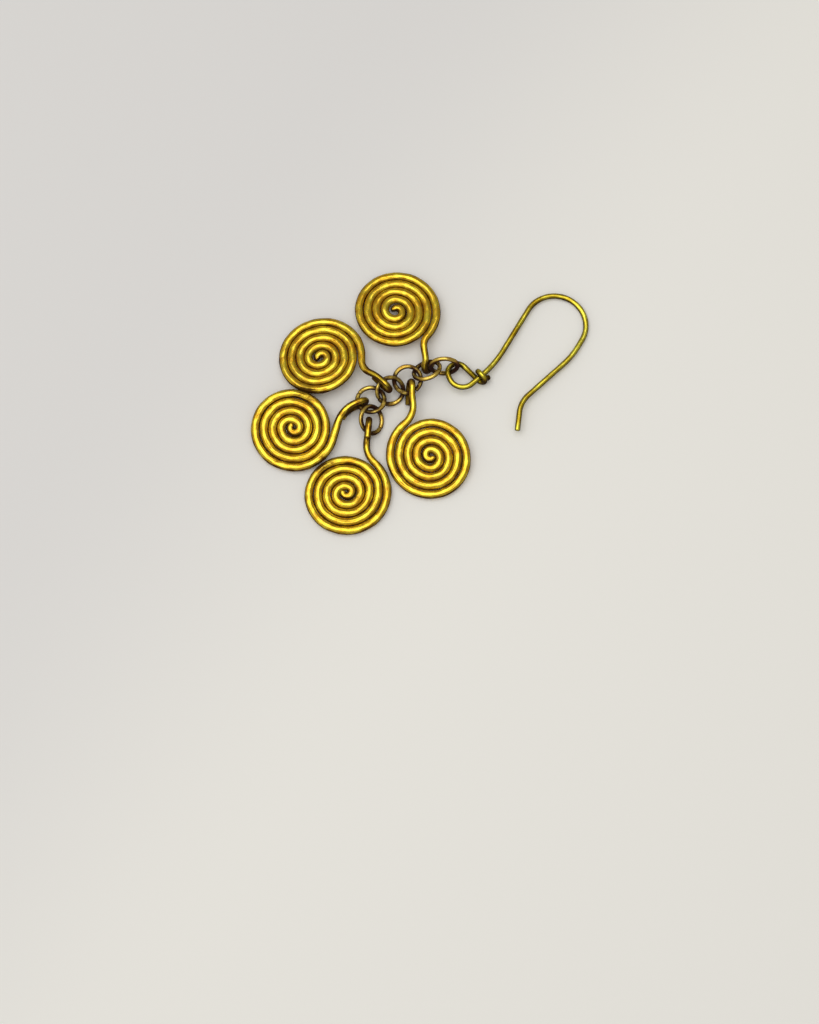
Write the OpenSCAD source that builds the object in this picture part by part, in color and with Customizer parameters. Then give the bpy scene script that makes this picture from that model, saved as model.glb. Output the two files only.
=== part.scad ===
// Dhokra earring: five flat wire spirals on a chain of jump rings, with an open ear wire.
// It lies spread out on a table. Z is up, X runs along the chain to the ear wire,
// and the origin is on the table under the middle of the earring.

/* [Wire] */
// Diameter of the wire in the turns of a spiral
turn_wire_d = 1.32; // [1.16:0.02:1.32]
// Diameter of the wire in a spiral's stem and eye
stem_wire_d = 1.12; // [0.9:0.02:1.14]
// Diameter of the ear wire
ear_wire_d = 0.88; // [0.7:0.02:0.9]
// Diameter of the wire of a jump ring
ring_wire_d = 0.72; // [0.6:0.02:0.74]

/* [Jump rings] */
// Middle diameter of a jump ring
ring_mid_d = 4.56; // [4.5:0.02:4.6]

/* [Ear wire] */
// Length of the straight end that goes through the ear
ear_end_l = 3.3; // [3.2:0.1:3.4]
// Radius of the ear wire's hook
hook_r = 5.25; // [5.2:0.05:5.35]
// Angle that the hook turns through
hook_angle = 179.5; // [178:0.5:179.5]
// Middle radius of the wrap round the shank
wrap_r = 1; // [0.98:0.01:1.02]

/* [Hidden] */
$fn = 48;

// Half turns wound in each spiral before its last, outermost arc
half_turns = 8;
// A ball this much wider than the wire closes each joint between two bends
knuckle = 0.02;
// Each straight or bend stops this far short of the joint, inside the ball
joint_gap = 0.01;

// Columns of a table of wire bends: the wire turns about itself by ROLL, runs straight for FEED,
// then bends at radius BEND_R through BEND_A, to its left where that is positive
FEED = 0;
BEND_R = 1;
BEND_A = 2;
ROLL = 3;

// Columns of a table of places: the plane at X, Y, Z is raised by TILT on the side of heading TOWARD
X = 0;
Y = 1;
Z = 2;
TILT = 3;
TOWARD = 4;
// A spiral's further columns: how far it is turned in its plane, the way it winds outwards
// (1 is counter-clockwise from above), its first radius, its pitch and the angle of its last arc
TURN = 5;
WINDS = 6;
FIRST_R = 7;
PITCH = 8;
LAST_A = 9;

// Where the jump rings lie, from the ear wire down the chain
//    x      y      z     tilt  toward
ring_rows = [
    [  3.90,  5.70,  2.60,  76,   91],
    [  1.00,  4.90,  2.65,  39,  -61],
    [ -2.25,  3.45,  2.10,   9.6, 41],
    [ -5.15,  1.60,  1.75,  33,  120],
    [ -8.40,  0.00,  1.85,   9,  -84],
    [ -8.30, -3.55,  1.95,  42,  169]
];

// Where the spirals lie and how each is wound
//    x       y       z     tilt  toward turn winds first  pitch  last
spiral_rows = [
    [ -4.28,  15.85,  1.46,  6.9,  -72,  -93,  -1,  1.15,  1.45,  125],
    [-17.00,   7.48,  1.69,  9.15, -39,  -41,  -1,  1.00,  1.45,  138],
    [-21.48,  -4.85,  1.46,  7.0,   52,    8,   1,  0.85,  1.47,  156],
    [-12.51, -15.95,  0.76,  0.8,   80,   62,   1,  0.85,  1.47,  162],
    [  1.62,  -9.79,  1.43,  6.8,   91,   80,  -1,  0.90,  1.48,  130]
];

// Each spiral's stem, its eye and the end folded back along the stem
//    feed bend_r bend_a roll
stem_a = [
    [0.2,  2.6,   47,    -8],
    [2.0,  1.3,  -31,    -3],
    [0,    1.0,  185,   -58],
    [1.2,  0,      0,     0]
];
stem_b = [
    [0.7,  2.8,   59,     9],
    [0.4,  6.1,  -15,     5],
    [1.2,  1.15, 195,  -102],
    [2.7,  0,      0,     0]
];
stem_c = [
    [2.6,  5.1,  -54,    -7],
    [0.5,  1.05, 193,   -90],
    [0.4,  5.1,   36,   -90],
    [0.4,  0,      0,     0]
];
stem_d = [
    [0.8,  3.8,  -49,     1],
    [2.5,  1.3,  185,    93],
    [2.0,  0,      0,     0]
];
stem_e = [
    [0,    3.9,   58,     4],
    [0.8,  5.2,  -11,     1],
    [0.8,  1.15, 185,   -80],
    [2.7,  0,      0,     0]
];

// The ear wire starts at its free end, at this place and heading in its own tilted plane
//    x      y      z     tilt  toward
ear_row = [ 16.15, -5.30,  1.50,  2.7,  218];
ear_heading = 83;
// From the free end over the hook and down the shank, round the loop that holds ring_1,
// and under the shank to the start of the wrap
//    feed       bend_r  bend_a      roll
ear_steps = [
    [ear_end_l,  5.0,    -40,           0],
    [8.1,       15.0,     17,           0],
    [1.2,       hook_r,   hook_angle,   0],
    [8.5,       20.0,    -18,           0],
    [2.0,        2.3,   -108,           0],
    [0.6,        1.6,   -156,           0],
    [0,          2.7,     20,         -82],
    [1.9,        4.2,      7,         187]
];
// The wrap's half turns each roll this much, which leads the wire along the shank
wrap_roll = -30;
wrap_steps = [
    [0,   wrap_r, 180, wrap_roll],
    [0,   wrap_r, 180, wrap_roll],
    [0,   wrap_r,  73, wrap_roll],
    [0.4, 0,        0, 0]
];

// One run of wire, straight along X for length h
module straight(h, r) {
    translate([joint_gap, 0, 0])
        rotate([0, 90, 0])
            cylinder(r = r, h = h - 2 * joint_gap);
}

// One bend of wire that leaves the origin along X, to the left where the angle is positive
module bend(bend_r, angle, r) {
    side = sign(angle);
    // the end faces stop short of the joints by this angle
    short = joint_gap / bend_r * 180 / PI;
    first = side > 0 ? -90 + short : 90 + angle + short;
    translate([0, side * bend_r, 0])
        rotate_extrude(angle = abs(angle) - 2 * short, start = first)
            translate([bend_r, 0])
                circle(r = r);
}

// The ball at a joint of a wire of radius r, with its poles inside the wire
module joint(r) {
    rotate([0, 90, 0])
        sphere(r = r + knuckle);
}

// Moves to the end of a bend and faces along the wire there
module after_bend(bend_r, angle) {
    side = sign(angle);
    translate([0, side * bend_r, 0])
        rotate([0, 0, angle])
            translate([0, -side * bend_r, 0])
                children();
}

// Carries on a wire from step i of its table, from the origin along X
module bent_wire(steps, r, i = 0) {
    row = steps[i];
    last = i == len(steps) - 1;
    rotate([row[ROLL], 0, 0]) {
        if (row[FEED] > 0)
            straight(row[FEED], r);
        translate([row[FEED], 0, 0]) {
            if (row[FEED] > 0 && row[BEND_A] != 0)
                joint(r);
            if (row[BEND_A] != 0)
                bend(row[BEND_R], row[BEND_A], r);
            after_bend(row[BEND_R], row[BEND_A])
                if (!last) {
                    joint(r);
                    bent_wire(steps, r, i + 1);
                }
        }
    }
}

// Puts something in the plane that a row of places gives. The wires would lie on the table
// there, so all of them are lifted by what the balls stand out
module in_plane(row) {
    translate([row[X], row[Y], row[Z] + knuckle])
        rotate([0, 0, row[TOWARD]])
            rotate([0, -row[TILT], 0])
                rotate([0, 0, -row[TOWARD]])
                    children();
}

// A closed jump ring
module jump_ring(row) {
    in_plane(row)
        rotate_extrude()
            translate([ring_mid_d / 2, 0])
                circle(d = ring_wire_d);
}

// The radius of a spiral's half turn number k, from the middle outwards
function half_turn_r(row, k) = row[FIRST_R] + k * row[PITCH] / 2;

// The half turns of a spiral and its last arc, as a table of wire bends
function turn_steps(row) = [
    for (k = [0 : half_turns - 1]) [0, half_turn_r(row, k), row[WINDS] * 180, 0],
    [0, half_turn_r(row, half_turns), row[WINDS] * row[LAST_A], 0]
];

// Moves from the middle of a spiral to the end of the steps already drawn
module after_steps(steps, i = 0) {
    if (i == len(steps)) {
        children();
    } else {
        row = steps[i];
        rotate([row[ROLL], 0, 0])
            translate([row[FEED], 0, 0])
                after_bend(row[BEND_R], row[BEND_A])
                    after_steps(steps, i + 1)
                        children();
    }
}

// One spiral: its half turns are centred by turns on two points a quarter of the pitch
// either side of the middle, and the stem and eye carry on from its last arc
module spiral(row, stem) {
    turns = turn_steps(row);
    in_plane(row)
        rotate([0, 0, row[TURN]])
            translate([row[PITCH] / 4 - row[FIRST_R], 0, 0])
                rotate([0, 0, -90 * row[WINDS]]) {
                    bent_wire(turns, turn_wire_d / 2);
                    after_steps(turns) {
                        joint(turn_wire_d / 2);
                        bent_wire(stem, stem_wire_d / 2);
                    }
                }
}

module ear_wire() {
    color("gold")
        in_plane(ear_row)
            rotate([0, 0, ear_heading])
                bent_wire(concat(ear_steps, wrap_steps), ear_wire_d / 2);
}

module ring_1() {
    color("darkgoldenrod") jump_ring(ring_rows[0]);
}

module ring_2() {
    color("darkgoldenrod") jump_ring(ring_rows[1]);
}

module ring_3() {
    color("darkgoldenrod") jump_ring(ring_rows[2]);
}

module ring_4() {
    color("darkgoldenrod") jump_ring(ring_rows[3]);
}

module ring_5() {
    color("darkgoldenrod") jump_ring(ring_rows[4]);
}

module ring_6() {
    color("darkgoldenrod") jump_ring(ring_rows[5]);
}

module spiral_a() {
    color("goldenrod") spiral(spiral_rows[0], stem_a);
}

module spiral_b() {
    color("goldenrod") spiral(spiral_rows[1], stem_b);
}

module spiral_c() {
    color("goldenrod") spiral(spiral_rows[2], stem_c);
}

module spiral_d() {
    color("goldenrod") spiral(spiral_rows[3], stem_d);
}

module spiral_e() {
    color("goldenrod") spiral(spiral_rows[4], stem_e);
}

ear_wire();
ring_1();
ring_2();
ring_3();
ring_4();
ring_5();
ring_6();
spiral_a();
spiral_b();
spiral_c();
spiral_d();
spiral_e();
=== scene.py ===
import math

import bpy
import numpy as np
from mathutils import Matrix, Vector


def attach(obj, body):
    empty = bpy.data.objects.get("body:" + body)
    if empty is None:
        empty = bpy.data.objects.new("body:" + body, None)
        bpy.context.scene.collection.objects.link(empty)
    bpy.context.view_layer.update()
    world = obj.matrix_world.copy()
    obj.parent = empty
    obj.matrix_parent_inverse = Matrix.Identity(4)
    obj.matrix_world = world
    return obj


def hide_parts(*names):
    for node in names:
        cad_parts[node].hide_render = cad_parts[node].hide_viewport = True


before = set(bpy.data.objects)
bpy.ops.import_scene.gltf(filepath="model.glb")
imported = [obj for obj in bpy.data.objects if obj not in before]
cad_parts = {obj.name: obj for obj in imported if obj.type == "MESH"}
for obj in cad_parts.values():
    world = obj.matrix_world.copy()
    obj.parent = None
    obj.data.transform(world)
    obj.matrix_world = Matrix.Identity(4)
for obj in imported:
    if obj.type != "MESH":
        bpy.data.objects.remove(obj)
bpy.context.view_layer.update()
print("frame loaded:", len(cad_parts), "CAD nodes")

mm = 0.001  # the wires are worked out in mm, the meshes are in metres
lift = 0.02  # mm, every wire lies this much higher than its place says, as in the CAD model
phaseSpan = 6.28  # the phases of all waves are drawn from 0 to nearly a full turn


# Wire bending. A place is (x, y, z, tilt, toward). A step is (feed, bend radius, bend angle, roll):
# the wire turns about itself by the roll, runs straight for the feed, then bends to its left where
# the angle is positive. Lengths are in mm, angles in degrees

def turned(degrees, axis):
    # the matrix of a right-handed turn about x, y or z
    c, s = math.cos(math.radians(degrees)), math.sin(math.radians(degrees))
    i, j = {"x": (1, 2), "y": (2, 0), "z": (0, 1)}[axis]
    matrix = np.eye(3)
    matrix[[i, j, i, j], [i, j, j, i]] = c, c, -s, s
    return matrix


def inPlane(place):
    # the plane through x, y, z that is raised by the tilt on the side of the heading toward
    x, y, z, tilt, toward = place
    return np.array([x, y, z + lift]), turned(toward, "z") @ turned(-tilt, "y") @ turned(-toward, "z")


def bendWire(start, axes, steps, spacing):
    # each arc is start + R (forward sin a + left (1 - cos a)), its left is left cos a - forward sin a,
    # and the rolls are taken back out of the side vectors, so that the section never twists
    point, rolled = start, 0.0
    rows = [(point[None], axes[:, 1][None])]
    for feed, radius, angle, roll in steps:
        axes = axes @ turned(roll, "x")
        rolled += math.radians(roll)
        forward, left, up = axes.T
        arc, sense = math.radians(abs(angle)), math.copysign(1, angle)
        total = feed + radius * arc
        s = np.linspace(0, total, max(2, math.ceil(total / spacing)) + 1)[1:]
        ahead = np.minimum(s, feed)
        a = np.maximum(s - feed, 0) / radius if angle else np.zeros_like(s)
        reach = radius * np.sin(a) + ahead
        aside = sense * radius * (1 - np.cos(a))
        points = point + reach[:, None] * forward + aside[:, None] * left
        lefts = np.cos(a)[:, None] * left - sense * np.sin(a)[:, None] * forward
        rows.append((points, lefts * math.cos(rolled) - up * math.sin(rolled)))
        point = points[-1]
        axes = axes @ turned(angle, "z")
    return [np.concatenate(part) for part in zip(*rows)]


def bentLength(steps):
    # straight runs plus radius times angle, along the middle of the wire
    return sum(feed + radius * math.radians(abs(angle)) for feed, radius, angle, roll in steps)


def blurred(values, sigma):
    # a Gaussian average along the wire, sigma in stations, that leaves the two ends in place
    reach = int(3 * sigma) + 1
    k = np.exp(-0.5 * (np.arange(-reach, reach + 1) / sigma) ** 2)
    k /= k.sum()
    padded = np.concatenate([2 * values[:1] - values[reach:0:-1], values,
                             2 * values[-1:] - values[-2:-reach - 2:-1]])
    return np.stack([np.convolve(padded[:, i], k, "valid") for i in range(values.shape[1])], 1)


def unit(vectors):
    # each row divided by its length
    return vectors / np.linalg.norm(vectors, axis=1, keepdims=True)


def smooth(low, high, x):
    # 3 q^2 - 2 q^3, where q goes from 0 at low to 1 at high and is clipped to that
    q = np.clip((x - low) / (high - low), 0, 1)
    return q * q * (3 - 2 * q)


def ripple(s, lengths, phases):
    # the mean of sines of unlike wavelengths
    waves = [np.sin(2 * np.pi * s / length + phase) for length, phase in zip(lengths, phases)]
    return np.sum(waves, 0) / len(waves)


# The wire's surface. In each wire's dictionary spacing is the distance between stations along it,
# around the number of vertices round it, dent the height of its dents and flat how far it is
# flattened, both as shares of its radius, and seed the start of its random numbers

pathBlur = 1.6  # stations, rounds off the jump in curvature between two bends
endCap = {"length": 0.16, "rings": 4, "roundness": 0.9}  # mm, a cut end with its edge taken off
# the dents of hand work: radians to the mm along the wire, lobes around it, height
dentWaves = [(1.3, 2, 1.0), (2.1, -2, 1.0), (3.1, 3, 0.7), (4.9, -4, 0.4)]


def wireSurface(points, sides, radii, around, dent, seed, flat=0.0):
    # the section is carried along the path: centre + r (side cos t + (1 - flat) up sin t), where
    # low waves along and around the wire dent r
    points = blurred(points, pathBlur)
    forward = unit(np.gradient(points, axis=0))
    sides = unit(sides - (sides * forward).sum(1, keepdims=True) * forward)
    ups = np.cross(forward, sides)
    s = np.concatenate([[0], np.cumsum(np.linalg.norm(np.diff(points, axis=0), axis=1))])
    # the stations close up towards the cut ends, where the radius falls to zero as a quarter
    # circle, sqrt(1 - (1 - q)^2), mixed with a little of a straight cone, q
    cap, roundness = endCap["length"], endCap["roundness"]
    q = np.linspace(0, 1, endCap["rings"] + 1)[:-1]
    fall = np.sqrt(1 - (1 - q) ** 2) * roundness + (1 - roundness) * q
    place = cap * (1 - np.cos(q * np.pi / 2))
    inner = s[(s > cap) & (s < s[-1] - cap)]
    where = np.concatenate([place, inner, s[-1] - place[::-1]])
    points, sides, ups = [np.stack([np.interp(where, s, v[:, i]) for i in range(3)], 1)
                          for v in (points, sides, ups)]
    radii = np.interp(where, s, radii) * np.concatenate([fall, np.ones(len(inner)), fall[::-1]])
    s = where
    t = np.arange(around) / around * 2 * np.pi
    phases = np.random.default_rng(seed).uniform(0, phaseSpan, len(dentWaves))
    waves = sum(height * np.sin(perMm * s[:, None] + lobes * t + phase)
                for (perMm, lobes, height), phase in zip(dentWaves, phases))
    r = radii[:, None] * (1 + dent * waves)
    c, d = np.cos(t), np.sin(t) * (1 - flat)
    surface = points[:, None] + r[..., None] * (c[:, None] * sides[:, None] + d[:, None] * ups[:, None])
    straight = np.stack([r * np.cos(t), r * np.sin(t), np.broadcast_to(s[:, None], r.shape)], 2)
    level = np.abs(np.cos(t) * sides[:, 2:] + np.sin(t) * ups[:, 2:])
    return {"surface": surface, "straight": straight, "level": level, "points": points,
            "radii": radii, "s": s}


def putMesh(name, wire, shares, material):
    # quads between neighbouring stations, and a fan to a pole at each cut end
    rows, around = wire["surface"].shape[:2]
    # the first and last stations have no width, so one vertex of each is kept as the pole
    kept = slice(around - 1, (rows - 1) * around + 1)
    vertices = wire["surface"].reshape(-1, 3)[kept]
    straight = wire["straight"].reshape(-1, 3)[kept]
    last = len(vertices) - 1
    j = np.arange(around)
    k = (j + 1) % around
    a = 1 + around * np.arange(rows - 3)[:, None]
    b = a + around
    first = np.stack([np.zeros(around, int), k + 1, j + 1], 1)
    quads = np.stack([a + j, a + k, b + k, b + j], 2).reshape(-1, 4)
    end = np.stack([last - around + j, last - around + k, np.full(around, last)], 1)
    mesh = bpy.data.meshes.new(name)
    mesh.from_pydata((vertices * mm).tolist(), [], first.tolist() + quads.tolist() + end.tolist())
    mesh.polygons.foreach_set("use_smooth", np.ones(len(mesh.polygons), bool))
    attribute = mesh.attributes.new("straightened", "FLOAT_VECTOR", "POINT")
    attribute.data.foreach_set("vector", straight.astype(np.float32).ravel())
    for key, share in shares.items():
        attribute = mesh.attributes.new(key, "FLOAT", "POINT")
        attribute.data.foreach_set("value", share.reshape(-1)[kept].astype(np.float32))
    mesh.materials.append(material)
    mesh.update()
    piece = bpy.data.objects.new(name, mesh)
    bpy.context.scene.collection.objects.link(piece)
    return piece


# Materials

def linear(hexColour):
    # sRGB hex to the linear colour that the shader takes: ((c + 0.055) / 1.055) ^ 2.4, or c / 12.92
    # where c is small
    c = np.array([int(hexColour[i:i + 2], 16) for i in (0, 2, 4)]) / 255
    c = np.where(c <= 0.04045, c / 12.92, ((c + 0.055) / 1.055) ** 2.4)
    return (*c.tolist(), 1.0)


def addNode(tree, kind, settings=None, inputs=None):
    # adds one node with its settings; an input is a value, or the socket that feeds it
    node = tree.nodes.new("ShaderNode" + kind)
    for key, value in (settings or {}).items():
        setattr(node, key, value)
    for key, value in (inputs or {}).items():
        if isinstance(value, bpy.types.NodeSocket):
            tree.links.new(value, node.inputs[key])
        else:
            node.inputs[key].default_value = value
    return node


# Three finishes of tarnished brass wire. Lengths are in mm, strengths from 0 to 1. Real draw lines
# are some 0.03 mm apart and real pits 0.1 mm wide, too fine to show: streakWidth and pits draw them
# as coarse as they need to be for the render

# thick wire wound by hand: rubbed ridges of a strong golden yellow between grooves of dark brown,
# with warm blotches and long streaks. Its dark flanks and outline are partly painted shade
spiralBrass = {"bright": "f6de40", "deep": "e0a61c", "patina": "aa701c", "grimeAndShade": "38200e",
               "roughBright": 0.12, "roughPatina": 0.5, "metalPatina": 0.3, "coat": 0.35,
               "streakWidth": 0.2, "streakLength": 3.5, "pits": 0.35, "blotch": 1.6, "ragged": 0.35,
               "lined": 0.8, "darkLines": 0.55, "grimeAndShadeShare": 0.95}
# thin drawn wire that was never rubbed: brown all round, with one narrow pale line along its top,
# which is a painted highlight
ringBrass = {"bright": "fade68", "deep": "d4a43a", "patina": "6c461a", "grimeAndShade": "341c18",
             "roughBright": 0.15, "roughPatina": 0.5, "metalPatina": 0.3, "coat": 0.5,
             "streakWidth": 0.14, "streakLength": 2.5, "pits": 0.3, "blotch": 1.2, "ragged": 0.4,
             "lined": 0.5, "darkLines": 0.5, "grimeAndShadeShare": 0.97}
# drawn wire worn bright by handling: a smooth greenish yellow with olive edges, which are partly
# painted shade
earBrass = {"bright": "eee650", "deep": "b8960e", "patina": "664c08", "grimeAndShade": "34240a",
            "roughBright": 0.12, "roughPatina": 0.5, "metalPatina": 0.3, "coat": 0.25,
            "streakWidth": 0.18, "streakLength": 4.0, "pits": 0.3, "blotch": 3.0, "ragged": 0.35,
            "lined": 0.5, "darkLines": 0.5, "grimeAndShadeShare": 0.97}
# what all three share: the values where each pattern starts and where it is full, what pits and the
# darkened parts, grime and painted shade, add to the roughness, how strong and how deep in mm the bumps
# are, and the tint of a glancing reflection on bare metal and on the darkened parts
tarnish = {"blotches": (0.32, 0.68), "streaks": (0.3, 0.7), "fineLines": (0.5, 0.62),
           "rubbedAndLit": (0.05, 1.0), "corners": (0.15, 0.85),
           "pitRoughness": 0.1, "grimeAndShadeRoughness": 0.2, "coatRoughness": 0.1,
           "dents": (0.35, 0.03), "lines": (0.8, 0.06),
           "bareGlance": "4a3010", "dullGlance": "1c1006"}


def tarnishedBrass(name, look):
    # rubbed is the worn attribute with blotches and streaks in its edge: light on level tops, darker on
    # the flanks, partly as tarnish and partly as painted shade. dark is the greater of the fine lines and
    # the grime, which holds painted shade too, and bare metal is what is rubbed and not dark
    material = bpy.data.materials.new(name)
    material.use_nodes = True
    tree = material.node_tree
    tree.nodes.clear()
    place = addNode(tree, "TexCoord").outputs["Object"]
    straight = addNode(tree, "Attribute", {"attribute_name": "straightened"}).outputs["Vector"]
    wearAndShade = addNode(tree, "Attribute", {"attribute_name": "wearAndShade"}).outputs["Fac"]
    grimeAndShade = addNode(tree, "Attribute", {"attribute_name": "grimeAndShade"}).outputs["Fac"]
    # blotches of thicker tarnish, a few mm wide
    blotch = addNode(tree, "TexNoise", inputs={"Vector": place, "Scale": 1 / (look["blotch"] * mm),
                                               "Detail": 4.0, "Roughness": 0.6}).outputs["Fac"]
    low, high = tarnish["blotches"]
    blotchy = addNode(tree, "MapRange",
                      inputs={"Value": blotch, "From Min": low, "From Max": high}).outputs[0]
    # streaks left by the draw plate and by rubbing, long along the wire and fine across it
    across = 1 / look["streakWidth"]
    stretch = addNode(tree, "Mapping", {"vector_type": "POINT"},
                      {"Vector": straight, "Scale": (across, across, 1 / look["streakLength"])})
    streak = addNode(tree, "TexNoise", inputs={"Vector": stretch.outputs["Vector"], "Scale": 1.0,
                                               "Detail": 2.0, "Roughness": 0.5}).outputs["Fac"]
    low, high = tarnish["streaks"]
    streaky = addNode(tree, "MapRange",
                      inputs={"Value": streak, "From Min": low, "From Max": high}).outputs[0]
    # small pits and dents of a hand-worked surface
    pits = addNode(tree, "TexNoise", inputs={"Vector": straight, "Scale": 1 / look["pits"],
                                             "Detail": 5.0, "Roughness": 0.6}).outputs["Fac"]
    # the tarnish gives way along a ragged edge, in streaks, to either side of its even course
    ragged = addNode(tree, "Math", {"operation": "MULTIPLY_ADD"},
                     {0: blotchy, 1: look["ragged"], 2: -0.5 * look["ragged"]})
    lined = addNode(tree, "Math", {"operation": "MULTIPLY_ADD"},
                    {0: streaky, 1: look["lined"], 2: -0.5 * look["lined"]})
    edge = addNode(tree, "Math", {"operation": "ADD"}, {0: ragged.outputs[0], 1: lined.outputs[0]})
    shown = addNode(tree, "Math", {"operation": "ADD"}, {0: wearAndShade, 1: edge.outputs[0]})
    low, high = tarnish["rubbedAndLit"]
    rubbedAndLit = addNode(tree, "MapRange", {"interpolation_type": "SMOOTHSTEP"},
                     {"Value": shown.outputs[0], "From Min": low, "From Max": high})
    warm = addNode(tree, "Mix", {"data_type": "RGBA"},
                   {0: blotchy, 6: linear(look["deep"]), 7: linear(look["bright"])})
    # the patina colour on the flanks is partly tarnish and partly painted shade
    tarnishedAndShaded = addNode(tree, "Mix", {"data_type": "RGBA"},
                        {0: rubbedAndLit.outputs[0], 6: linear(look["patina"]), 7: warm.outputs[2]})
    # fine dark lines on the flanks, where the rubbing doesn't reach and the painted shade lies
    low, high = tarnish["fineLines"]
    darkLines = addNode(tree, "MapRange", {"interpolation_type": "SMOOTHSTEP"},
                        {"Value": streak, "From Min": low, "From Max": high,
                         "To Max": look["darkLines"]})
    unrubbedAndShaded = addNode(tree, "Math", {"operation": "SUBTRACT", "use_clamp": True},
                       {0: 1.0, 1: rubbedAndLit.outputs[0]})
    fineLines = addNode(tree, "Math", {"operation": "MULTIPLY"},
                        {0: darkLines.outputs[0], 1: unrubbedAndShaded.outputs[0]})
    # grime and painted shade in the corners where wires meet, and painted shade along the wires' edges,
    # with a blotchy edge
    raggedDarkening = addNode(tree, "Math", {"operation": "MULTIPLY_ADD"},
                     {0: edge.outputs[0], 1: -1.0, 2: grimeAndShade})
    low, high = tarnish["corners"]
    corners = addNode(tree, "MapRange", {"interpolation_type": "SMOOTHSTEP"},
                      {"Value": raggedDarkening.outputs[0], "From Min": low, "From Max": high,
                       "To Max": look["grimeAndShadeShare"]})
    dark = addNode(tree, "Math", {"operation": "MAXIMUM"},
                   {0: fineLines.outputs[0], 1: corners.outputs[0]})
    # the dark colour is laid on grime and on the painted shade
    colour = addNode(tree, "Mix", {"data_type": "RGBA"},
                     {0: dark.outputs[0], 6: tarnishedAndShaded.outputs[2], 7: linear(look["grimeAndShade"])})
    # tarnish, grime and painted shade are dull and less like metal, which keeps the wires' edges dark
    rough = addNode(tree, "MapRange",
                    inputs={"Value": rubbedAndLit.outputs[0], "To Min": look["roughPatina"],
                            "To Max": look["roughBright"]})
    pitted = addNode(tree, "Math", {"operation": "MULTIPLY_ADD"},
                     {0: pits, 1: tarnish["pitRoughness"], 2: rough.outputs[0]})
    roughness = addNode(tree, "Math", {"operation": "MULTIPLY_ADD"},
                        {0: dark.outputs[0], 1: tarnish["grimeAndShadeRoughness"], 2: pitted.outputs[0]})
    bare = addNode(tree, "Math", {"operation": "SUBTRACT", "use_clamp": True},
                   {0: rubbedAndLit.outputs[0], 1: dark.outputs[0]})
    metallic = addNode(tree, "MapRange",
                       inputs={"Value": bare.outputs[0], "To Min": look["metalPatina"]})
    # the thin film that handling leaves on bare metal
    waxed = addNode(tree, "Math", {"operation": "MULTIPLY"}, {0: bare.outputs[0], 1: look["coat"]})
    # the glancing reflection is tinted dark off bare metal: on tarnish, grime and painted shade
    glance = addNode(tree, "Mix", {"data_type": "RGBA"},
                     {0: bare.outputs[0], 6: linear(tarnish["dullGlance"]),
                      7: linear(tarnish["bareGlance"])})
    strength, depth = tarnish["dents"]
    dents = addNode(tree, "Bump", inputs={"Strength": strength, "Distance": depth * mm,
                                          "Height": pits})
    strength, depth = tarnish["lines"]
    lines = addNode(tree, "Bump", inputs={"Strength": strength, "Distance": depth * mm,
                                          "Height": streak, "Normal": dents.outputs["Normal"]})
    shader = addNode(tree, "BsdfPrincipled", inputs={"Base Color": colour.outputs[2],
                                                     "Metallic": metallic.outputs[0],
                                                     "Roughness": roughness.outputs[0],
                                                     "Normal": lines.outputs["Normal"],
                                                     "Specular Tint": glance.outputs[2],
                                                     "Coat Weight": waxed.outputs[0],
                                                     "Coat Roughness": tarnish["coatRoughness"]})
    addNode(tree, "OutputMaterial", inputs={"Surface": shader.outputs[0]})
    return material


brassOfSpirals = tarnishedBrass("handWoundBrassTarnished", spiralBrass)
brassOfRings = tarnishedBrass("drawnBrassDarkened", ringBrass)
brassOfEarWire = tarnishedBrass("drawnBrassWornBright", earBrass)
print("materials made: 3")


# The jump rings: an open wire bent round until its ends butt, a hair thicker than in the CAD model
jumpRing = {"meanRadius": 2.28, "wireRadius": 0.376, "jointGap": 0.05, "spacing": 0.1, "around": 22,
            "dent": 0.015, "seed": 10}
# x, y, z, tilt, toward, and the heading of the joint in the ring
ringRows = [
    (3.90, 5.70, 2.60, 76, 91, 250),
    (1.00, 4.90, 2.65, 39, -61, 200),
    (-2.25, 3.45, 2.10, 9.6, 41, 305),
    (-5.15, 1.60, 1.75, 33, 120, 215),
    (-8.40, 0.00, 1.85, 9, -84, 150),
    (-8.30, -3.55, 1.95, 42, 169, 330),
]


def ringWire(row, seed):
    # an arc of nearly a full turn, from one side of the joint round to the other
    centre, plane = inPlane(row[:5])
    radius = jumpRing["meanRadius"]
    gap = math.degrees(jumpRing["jointGap"] / radius)
    axes = plane @ turned(row[5] + gap / 2, "z")
    start = centre + axes @ np.array([radius, 0, 0])
    points, sides = bendWire(start, axes @ turned(90, "z"), [(0, radius, 360 - gap, 0)],
                             jumpRing["spacing"])
    radii = np.full(len(points), jumpRing["wireRadius"])
    return wireSurface(points, sides, radii, jumpRing["around"], jumpRing["dent"], seed)


# The spirals: half turns about two centres a quarter of the pitch either side of the middle. The
# wire is thicker than the CAD model's, so that the turns touch, and thins towards both of its ends
spiralWire = {"turnRadius": 0.715, "stemRadius": 0.56, "halfTurns": 8, "spacing": 0.13,
              "around": 28, "flat": 0.08, "dent": 0.013, "seed": 30,
              # the turns wander sideways by up to the wobble, in waves of these lengths
              "wobble": 0.03, "wobbleLengths": (5.3, 8.9, 14.0),
              # the inner end is curled in, thinner and pressed towards the middle
              "curlRadius": 0.6, "curlAngle": 95, "endWireRadius": 0.6, "endTaper": 2.6,
              "endRadius": 0.8, "pressedLength": 2.2,
              # the wire thins from this far before the stem, and is clear of the turns this far on
              "stemBlend": 4, "stemClear": 2.5}
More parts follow.
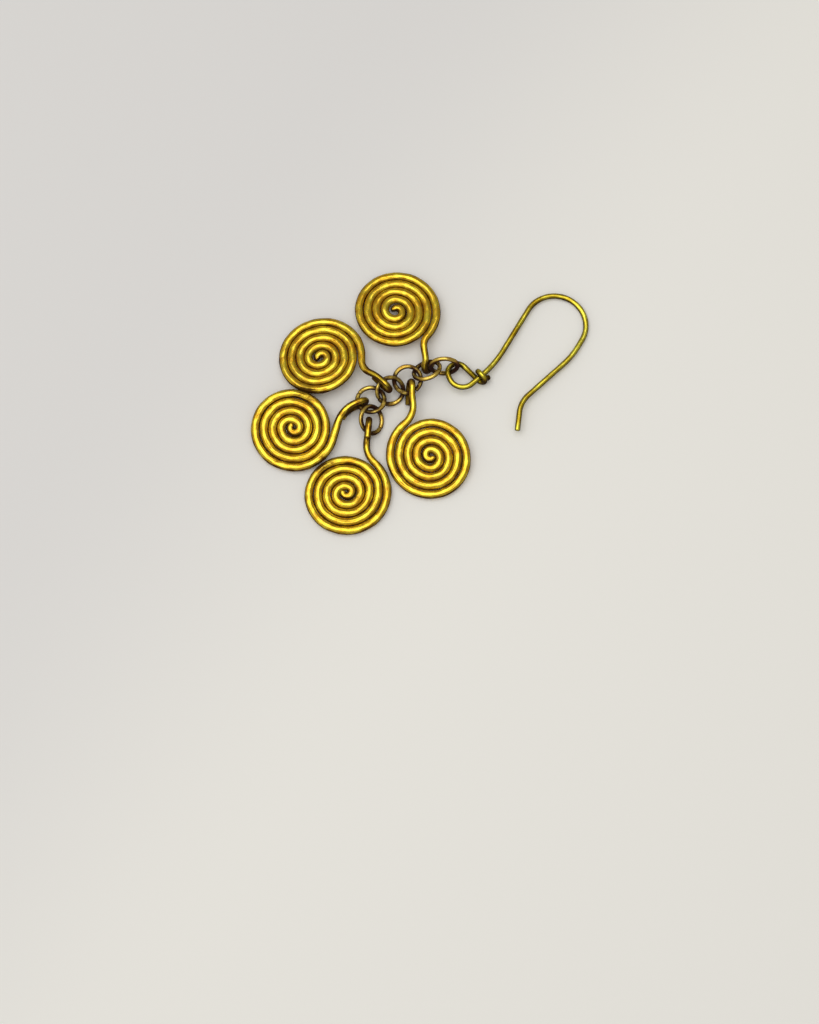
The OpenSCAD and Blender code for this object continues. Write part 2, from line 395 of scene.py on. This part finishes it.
# the last two entries say how much darker the stem is, and the end that is folded back along it
spirals = {
    "a": {"place": (-4.28, 15.85, 1.46, 6.9, -72), "turn": -93, "winds": -1,
          "firstRadius": 1.15, "pitch": 1.45, "lastArc": 125,
          "stem": [(0.2, 2.6, 47, -8), (2.0, 1.3, -31, -3), (0, 1.0, 185, -58), (1.2, 0, 0, 0)],
          "stemDarkening": 0.65, "strandDarkening": 0.2},
    "b": {"place": (-17.00, 7.48, 1.69, 9.15, -39), "turn": -41, "winds": -1,
          "firstRadius": 1.00, "pitch": 1.45, "lastArc": 138,
          "stem": [(0.7, 2.8, 59, 9), (0.4, 6.1, -15, 5), (1.2, 1.15, 195, -102), (2.7, 0, 0, 0)],
          "stemDarkening": 0.95, "strandDarkening": 0.5},
    "c": {"place": (-21.48, -4.85, 1.46, 7.0, 52), "turn": 8, "winds": 1,
          "firstRadius": 0.85, "pitch": 1.47, "lastArc": 156,
          "stem": [(2.6, 5.1, -54, -7), (0.5, 1.05, 193, -90), (0.4, 5.1, 36, -90), (0.4, 0, 0, 0)],
          "stemDarkening": 0.75, "strandDarkening": 0.7},
    "d": {"place": (-12.51, -15.95, 0.76, 0.8, 80), "turn": 62, "winds": 1,
          "firstRadius": 0.85, "pitch": 1.47, "lastArc": 162,
          "stem": [(0.8, 3.8, -49, 1), (2.5, 1.3, 185, 93), (2.0, 0, 0, 0)],
          "stemDarkening": 0.85, "strandDarkening": 0.1},
    "e": {"place": (1.62, -9.79, 1.43, 6.8, 91), "turn": 80, "winds": -1,
          "firstRadius": 0.90, "pitch": 1.48, "lastArc": 130,
          "stem": [(0, 3.9, 58, 4), (0.8, 5.2, -11, 1), (0.8, 1.15, 185, -80), (2.7, 0, 0, 0)],
          "stemDarkening": 0.5, "strandDarkening": 0.8},
}


def spiralSurface(row, seed):
    # half turn k has the radius first + k pitch / 2; the curl comes before it and the stem after
    centre, plane = inPlane(row["place"])
    plane = plane @ turned(row["turn"], "z")
    winds, pitch, first = row["winds"], row["pitch"], row["firstRadius"]
    count = spiralWire["halfTurns"]
    axes = plane @ turned(-90 * winds, "z")
    curl, angle = winds * spiralWire["curlRadius"], winds * spiralWire["curlAngle"]
    curlAxes = axes @ turned(-angle, "z")
    start = centre + plane @ np.array([pitch / 4 - first, 0, 0]) + curl * (axes[:, 1] - curlAxes[:, 1])
    steps = [(0, abs(curl), angle, 0)]
    steps += [(0, first + k * pitch / 2, 180 * winds, 0) for k in range(count)]
    steps.append((0, first + count * pitch / 2, row["lastArc"] * winds, 0))
    points, sides = bendWire(start, curlAxes, steps + row["stem"], spiralWire["spacing"])
    s = np.arange(len(points)) * spiralWire["spacing"]
    turnsEnd = bentLength(steps)
    blendStart = turnsEnd - spiralWire["stemBlend"]
    pressed = (first - spiralWire["endRadius"]) * (1 - smooth(0, spiralWire["pressedLength"], s))
    points = points + pressed[:, None] * unit(centre - points)
    phases = np.random.default_rng(seed).uniform(0, phaseSpan, len(spiralWire["wobbleLengths"]))
    wobble = spiralWire["wobble"] * (1 - smooth(blendStart, turnsEnd, s))
    points = points + sides * (wobble * ripple(s, spiralWire["wobbleLengths"], phases))[:, None]
    toFold = bentLength(row["stem"][:-2])
    thinned = smooth(blendStart, turnsEnd + toFold, s)
    radii = spiralWire["turnRadius"] + thinned * (spiralWire["stemRadius"] - spiralWire["turnRadius"])
    atEnd = 1 - smooth(0, spiralWire["endTaper"], s)
    radii -= (spiralWire["turnRadius"] - spiralWire["endWireRadius"]) * atEnd
    wire = wireSurface(points, sides, radii, spiralWire["around"], spiralWire["dent"], seed,
                       spiralWire["flat"])
    wire["stemStart"] = turnsEnd + spiralWire["stemClear"]
    feed, radius, folded, roll = row["stem"][-2]
    wire["fold"] = turnsEnd + toFold + feed + radius * math.radians(folded) / 2
    wire["stemDarkening"], wire["strandDarkening"] = row["stemDarkening"], row["strandDarkening"]
    return wire


# The ear wire: free end, hook, shank, the loop that holds the first ring, and the wrap. It is a
# hair thicker than in the CAD model
earWire = {"place": (16.15, -5.30, 1.50, 2.7, 218), "heading": 83, "wireRadius": 0.455,
           "spacing": 0.12, "around": 24, "dent": 0.012, "seed": 3,
           "end": [(3.3, 5.0, -40, 0), (8.1, 15.0, 17, 0)],
           "hook": [(1.2, 5.25, 179.5, 0)],
           "shank": [(8.5, 20.0, -18, 0)],
           "loop": [(2.0, 2.3, -108, 0), (0.6, 1.6, -156, 0), (0, 2.7, 20, -82), (1.9, 4.2, 7, 187)],
           "wrap": [(0, 1.0, 180, -30), (0, 1.0, 180, -30), (0, 1.0, 73, -30), (0.4, 0, 0, 0)]}


def earSurface(seed):
    # one wire of even thickness through all five stretches
    centre, plane = inPlane(earWire["place"])
    stretches = ("end", "hook", "shank", "loop", "wrap")
    steps = [step for stretch in stretches for step in earWire[stretch]]
    points, sides = bendWire(centre, plane @ turned(earWire["heading"], "z"), steps,
                             earWire["spacing"])
    radii = np.full(len(points), earWire["wireRadius"])
    return wireSurface(points, sides, radii, earWire["around"], earWire["dent"], seed)


wires = {"ear_wire": earSurface(earWire["seed"])}
for number, row in enumerate(ringRows, 1):
    wires["ring_%d" % number] = ringWire(row, jumpRing["seed"] + number)
for number, (letter, row) in enumerate(spirals.items()):
    wires["spiral_" + letter] = spiralSurface(row, spiralWire["seed"] + number)
print("wires bent:", len(wires))


# Wear and painted shade. Dirt and tarnish stay where two wires nearly touch and on the flanks of the
# wires, and both places are also darkened as painted shade. How level a face is runs from 0, upright,
# to 1, flat: the height of its unit normal, up or down

# how level a face is where the wear starts, and where it is full: level tops stay light, and the
# flanks below it are darkened, partly as tarnish and partly as painted shade
wearAndShadeLevels = {"ear": (0.45, 0.95), "ring": (0.35, 0.93), "spiral": (0.22, 0.92)}
# how level a face is where the painted shade along a wire's edge, a dark line, is full, and where it ends
edgeShadeLine = {"ear": (0.28, 0.72), "ring": (0.25, 0.7), "spiral": (0.38, 0.84)}
# the darkening of grime and painted shade runs from 0 to its most, lengths are in mm
crevice = {"mostGrimeAndShade": 1.25,
           # where wires touch and how far from there, darkened partly as grime and partly as painted
           # shade, and how much less of it lies on the level ridges
           "share": 1.5, "reach": 1.0, "ridge": 0.35,
           # the painted shade along a wire's edges, a dark line. In a spiral it is full on the outer turn
           # alone, which starts between these two lengths before the stem
           "edge": 0.85, "innerEdge": 0.5, "outerTurn": (48, 38),
           # where a stem touches itself, this far on along it or further
           "ownReach": 1.1, "alongWire": 2.4,
           # round the fold of an eye
           "atFold": 1.5, "foldReach": 1.4, "foldBlend": 1,
           # how far before and after its start a stem turns dull, and the power that keeps its top bright
           "stemBlend": (3, 1), "stemTop": 8,
           # the flanks of the inner end, and the power that keeps its top bright
           "middle": 1.4, "middleLength": 7, "middleTop": 3}
search = {"every": 2, "within": 3, "block": 1500}  # stations, mm and points, for nearestGap


def nearestGap(points, others):
    # the least distance from each point to the surfaces of the other wires, in blocks
    every = search["every"]
    centres = np.concatenate([w["points"][::every] for w in others]).astype(np.float32)
    radii = np.concatenate([w["radii"][::every] for w in others]).astype(np.float32)
    low, high = points.min(0) - search["within"], points.max(0) + search["within"]
    near = ((centres > low) & (centres < high)).all(1)
    centres, radii = centres[near], radii[near]
    blocks = np.array_split(points.astype(np.float32), max(1, len(points) // search["block"]))
    return np.concatenate([(np.linalg.norm(block[:, None] - centres[None], axis=2) - radii).min(1)
                           for block in blocks])


def ownGap(wire):
    # the same to the wire's own surface, from its stem's start on, where that lies further along
    # the wire than alongWire
    s, first = wire["s"], np.searchsorted(wire["s"], wire["stemStart"])
    surface, points, radii = wire["surface"][first:], wire["points"][first:], wire["radii"][first:]
    apart = np.abs(s[first:, None] - s[None, first:]) > crevice["alongWire"]
    gap = np.linalg.norm(surface[:, :, None] - points[None, None], axis=3) - radii
    gap = np.where(apart[:, None], gap, np.inf).min(2)
    return np.concatenate([np.full((first, gap.shape[1]), np.inf), gap])


def nearness(gap, reach):
    # exp(-(gap / reach)^2), 1 where the wires touch
    return np.exp(-(np.maximum(gap, 0) / reach) ** 2)


def spiralDarkening(wire, s):
    # the most of a spiral's own darkening: the dull stem, the darker middle, the eye's corners, where
    # grime and painted shade lie, its fold as exp(-(distance along the wire / foldReach)^2), and the
    # strand that is folded back
    level, stemStart, fold = wire["level"], wire["stemStart"], wire["fold"]
    before, after = crevice["stemBlend"]
    stem = wire["stemDarkening"] * smooth(stemStart - before, stemStart + after, s)
    stem = stem * (1 - level ** crevice["stemTop"])
    middle = crevice["middle"] * (1 - smooth(0, crevice["middleLength"], s))
    middle = middle * (1 - level ** crevice["middleTop"])
    # where a stem lies against itself: grime and painted shade
    own = crevice["share"] * nearness(ownGap(wire), crevice["ownReach"])
    own = own * (1 - smooth(fold - crevice["foldBlend"], fold, s))
    atFold = crevice["atFold"] * np.exp(-((s - fold) / crevice["foldReach"]) ** 2)
    strand = wire["strandDarkening"] * smooth(fold, fold + crevice["foldBlend"], s)
    return np.maximum(np.maximum(np.maximum(stem, middle), own), np.maximum(atFold, strand))


def wearAndShadeShares(name, wire):
    # worn is how level the face is: light on level tops, dark on the flanks partly as painted shade.
    # grime, which holds painted shade too, is the most that any of its causes gives
    kind = name.split("_")[0]
    s, level = wire["s"][:, None], wire["level"]
    wearAndShade = smooth(*wearAndShadeLevels[kind], level)
    others = [w for key, w in wires.items() if key != name]
    gap = nearestGap(wire["surface"].reshape(-1, 3), others).reshape(level.shape)
    # grime and painted shade where wires nearly touch, less on the level ridges
    grimeAndShade = crevice["share"] * nearness(gap, crevice["reach"]) * (1 - crevice["ridge"] * wearAndShade)
    edge = crevice["edge"]
    if "fold" in wire:
        outer, full = (wire["stemStart"] - length for length in crevice["outerTurn"])
        inner = crevice["innerEdge"]
        edge = edge * (inner + (1 - inner) * smooth(outer, full, s))
        grimeAndShade = np.maximum(grimeAndShade, spiralDarkening(wire, s))
    # painted shade: a dark line along the wires' edges, where their faces turn upright
    grimeAndShade = np.maximum(grimeAndShade, edge * (1 - smooth(*edgeShadeLine[kind], level)))
    return {"wearAndShade": wearAndShade, "grimeAndShade": np.clip(grimeAndShade, 0, crevice["mostGrimeAndShade"])}


slots = {"ear": ("ear_brass", brassOfEarWire), "ring": ("ring_brass", brassOfRings),
         "spiral": ("spiral_brass", brassOfSpirals)}
for node, wire in wires.items():
    slot, material = slots[node.split("_")[0]]
    piece = putMesh(node + "_bent", wire, wearAndShadeShares(node, wire), material)
    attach(piece, "root")
    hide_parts(node)
print("pieces made:", len(wires))


# The table top, the light and the camera, in metres

# the far tone is painted shade on the board's upper left
table = {"near": "f8f7f3", "far": "e9e8e8", "across": (0.02, -0.014, 0), "toneRange": (-2.0, 1.0),
         "roughness": 0.7, "size": 3.0}


def tableTop():
    # a matt white board, greyer to the upper left as painted shade: tone = position . across / across
    # squared
    material = bpy.data.materials.new("paleTableTop")
    material.use_nodes = True
    tree = material.node_tree
    place = addNode(tree, "TexCoord").outputs["Object"]
    across = Vector(table["across"])
    tone = addNode(tree, "VectorMath", {"operation": "DOT_PRODUCT"},
                   {0: place, 1: across / across.length_squared})
    low, high = table["toneRange"]
    blend = addNode(tree, "MapRange", {"interpolation_type": "SMOOTHSTEP"},
                    {"Value": tone.outputs["Value"], "From Min": low, "From Max": high})
    colour = addNode(tree, "Mix", {"data_type": "RGBA"},
                     {0: blend.outputs[0], 6: linear(table["far"]), 7: linear(table["near"])})
    shader = tree.nodes["Principled BSDF"]
    tree.links.new(colour.outputs[2], shader.inputs["Base Color"])
    shader.inputs["Roughness"].default_value = table["roughness"]
    bpy.ops.mesh.primitive_plane_add(size=table["size"], location=(0, 0, 0))
    board = bpy.context.object
    board.name = "table_top"
    board.data.materials.append(material)


# the soft studio light all round, as radiance: strongest overhead and a little to the left, dim near
# the horizon, so that a wire shows a bright ridge between dark edges
sky = {"colour": "fffdf9", "brightest": (-0.3, -0.25, 0.92), "full": 0.58, "dim": 0.24,
       "dimBelow": 0.1, "fullAbove": 0.98}


def studioSky():
    # strength = dim + (full - dim) smoothstep(cosine of the angle from the brightest direction)
    world = bpy.data.worlds.new("studio")
    world.use_nodes = True
    tree = world.node_tree
    toward = addNode(tree, "TexCoord").outputs["Generated"]
    along = addNode(tree, "VectorMath", {"operation": "DOT_PRODUCT"}, {0: toward, 1: sky["brightest"]})
    strength = addNode(tree, "MapRange", {"interpolation_type": "SMOOTHSTEP"},
                       {"Value": along.outputs["Value"], "From Min": sky["dimBelow"],
                        "From Max": sky["fullAbove"], "To Min": sky["dim"], "To Max": sky["full"]})
    background = tree.nodes["Background"]
    background.inputs["Color"].default_value = linear(sky["colour"])
    tree.links.new(strength.outputs[0], background.inputs["Strength"])
    bpy.context.scene.world = world


# one wide box over the table, whose power is in watts
softBox = {"position": (-0.09, 0.0, 0.55), "target": (0, 0, 0), "size": (0.6, 0.6), "power": 1.6,
           "colour": "fffdf8"}


def hangSoftBox():
    lamp = bpy.data.lights.new("overhead", "AREA")
    lamp.shape = "RECTANGLE"
    lamp.size, lamp.size_y = softBox["size"]
    lamp.energy = softBox["power"]
    lamp.color = linear(softBox["colour"])[:3]
    light = bpy.data.objects.new("overhead", lamp)
    light.location = softBox["position"]
    ahead = Vector(softBox["target"]) - Vector(softBox["position"])
    light.rotation_euler = ahead.to_track_quat("-Z", "Y").to_euler()
    bpy.context.scene.collection.objects.link(light)


# the camera looks down at the photo's angle from its distance, with its field of view: focalPixels
# is the focal length in pixels of a picture imageHeight high, the sensor's height is in mm
view = {"target": (-0.001917, -0.01899, 0), "elevation": 75.5, "distance": 0.38, "focalPixels": 2280,
        "imageHeight": 1024, "sensorHeight": 24, "clipStart": 0.01}


def lookDown():
    # position = target + distance (-y cos elevation + z sin elevation)
    camera = bpy.data.objects.new("camera", bpy.data.cameras.new("camera"))
    elevation = math.radians(view["elevation"])
    away = Vector((0, -math.cos(elevation), math.sin(elevation))) * view["distance"]
    camera.location = Vector(view["target"]) + away
    camera.rotation_euler = (-away).to_track_quat("-Z", "Y").to_euler()
    camera.data.sensor_fit = "VERTICAL"
    camera.data.sensor_height = view["sensorHeight"]
    camera.data.lens = view["sensorHeight"] * view["focalPixels"] / view["imageHeight"]
    camera.data.clip_start = view["clipStart"]
    bpy.context.scene.collection.objects.link(camera)
    bpy.context.scene.camera = camera


tableTop()
studioSky()
hangSoftBox()
bpy.context.scene.view_settings.view_transform = "Standard"
lookDown()
print("stage set")
